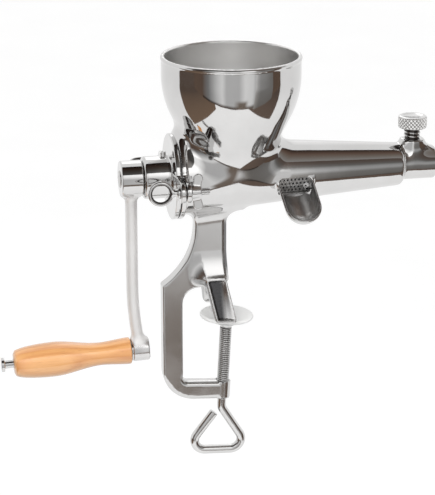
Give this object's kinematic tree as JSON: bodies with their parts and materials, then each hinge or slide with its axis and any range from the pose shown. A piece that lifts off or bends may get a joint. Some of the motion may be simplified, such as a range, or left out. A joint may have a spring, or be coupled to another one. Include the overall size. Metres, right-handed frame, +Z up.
{
  "type": "screw fruit press",
  "caption": "Hand-cranked screw fruit press with a bowl hopper, tapered barrel and auger, strainer spout, pulp nozzle and table clamp.",
  "frame": {"origin": "clamp screw axis at the table top, where the jaw feet rest", "axes": "+X along the barrel to the pulp nozzle, +Y away from the juice spout, +Z up"},
  "size_m": [0.3252, 0.1017, 0.3074],
  "materials": {
    "polished_steel": "mirror polished stainless steel",
    "satin_steel": "satin stainless steel",
    "bright_hardware": "bright nickel plated steel",
    "pale_pad": "fine matt cast",
    "rubber_seal": "matt black",
    "bronze_bearing": "turned bronze",
    "varnished_wood": "clear varnish over warm hardwood"
  },
  "bodies": {
    "press_body": {"hopper": "polished_steel", "barrel": "polished_steel", "juice_spout": "polished_steel", "nozzle_collar": "polished_steel", "clamp_frame": "polished_steel", "rear_cover": "polished_steel", "cover_gasket": "rubber_seal", "bearing_bush": "bronze_bearing", "shaft_seal": "rubber_seal", "thrust_washer": "bronze_bearing", "strainer": "satin_steel", "eye_bolt_near": "bright_hardware", "eye_bolt_far": "bright_hardware"},
    "crank": {"auger": "satin_steel", "crank_arm": "satin_steel", "crank_set_screw": "satin_steel", "handle_bolt": "bright_hardware", "handle_washer": "bright_hardware"},
    "grip": {"handle_grip": "varnished_wood"},
    "nozzle": {"pulp_nozzle": "bright_hardware"},
    "nozzle_lock": {"thumb_screw": "bright_hardware"},
    "near_nut": {"wing_nut_near": "bright_hardware"},
    "far_nut": {"wing_nut_far": "bright_hardware"},
    "pad": {"clamp_pad": "pale_pad"},
    "screw": {"clamp_screw": "bright_hardware"}
  },
  "joints": [
    {"name": "crank_turn", "type": "hinge", "parent": "press_body", "child": "crank", "pos_m": [-0.0701, 0, 0.107], "axis": [1, 0, 0], "continuous": true},
    {"name": "grip_spin", "type": "hinge", "parent": "crank", "child": "grip", "pos_m": [-0.06474, 0, -0.024], "axis": [-0.999, 0, -0.0436], "continuous": true},
    {"name": "nozzle_slide", "type": "slide", "parent": "press_body", "child": "nozzle", "axis": [1, 0, 0], "range_m": [0, 0.024]},
    {"name": "nozzle_lock_turn", "type": "hinge", "parent": "press_body", "child": "nozzle_lock", "pos_m": [0.1383, 0, 0.1255], "axis": [0, 0, 1], "continuous": true},
    {"name": "near_nut_turn", "type": "hinge", "parent": "press_body", "child": "near_nut", "pos_m": [-0.034, -0.042, 0.107], "axis": [1, 0, 0], "continuous": true},
    {"name": "far_nut_turn", "type": "hinge", "parent": "press_body", "child": "far_nut", "pos_m": [-0.034, 0.042, 0.107], "axis": [1, 0, 0], "continuous": true},
    {"name": "pad_travel", "type": "slide", "parent": "press_body", "child": "pad", "axis": [0.0523, 0, 0.9986], "range_m": [-0.04, 0]},
    {"name": "screw_turn", "type": "hinge", "parent": "pad", "child": "screw", "pos_m": [0, 0, 0], "axis": [0.0523, 0, 0.9986], "range_deg": [-9600, 0]}
  ],
  "couplings": [
    {"joint": "pad_travel", "follows": "screw_turn", "m_per_rad": 0.00023873}
  ]
}
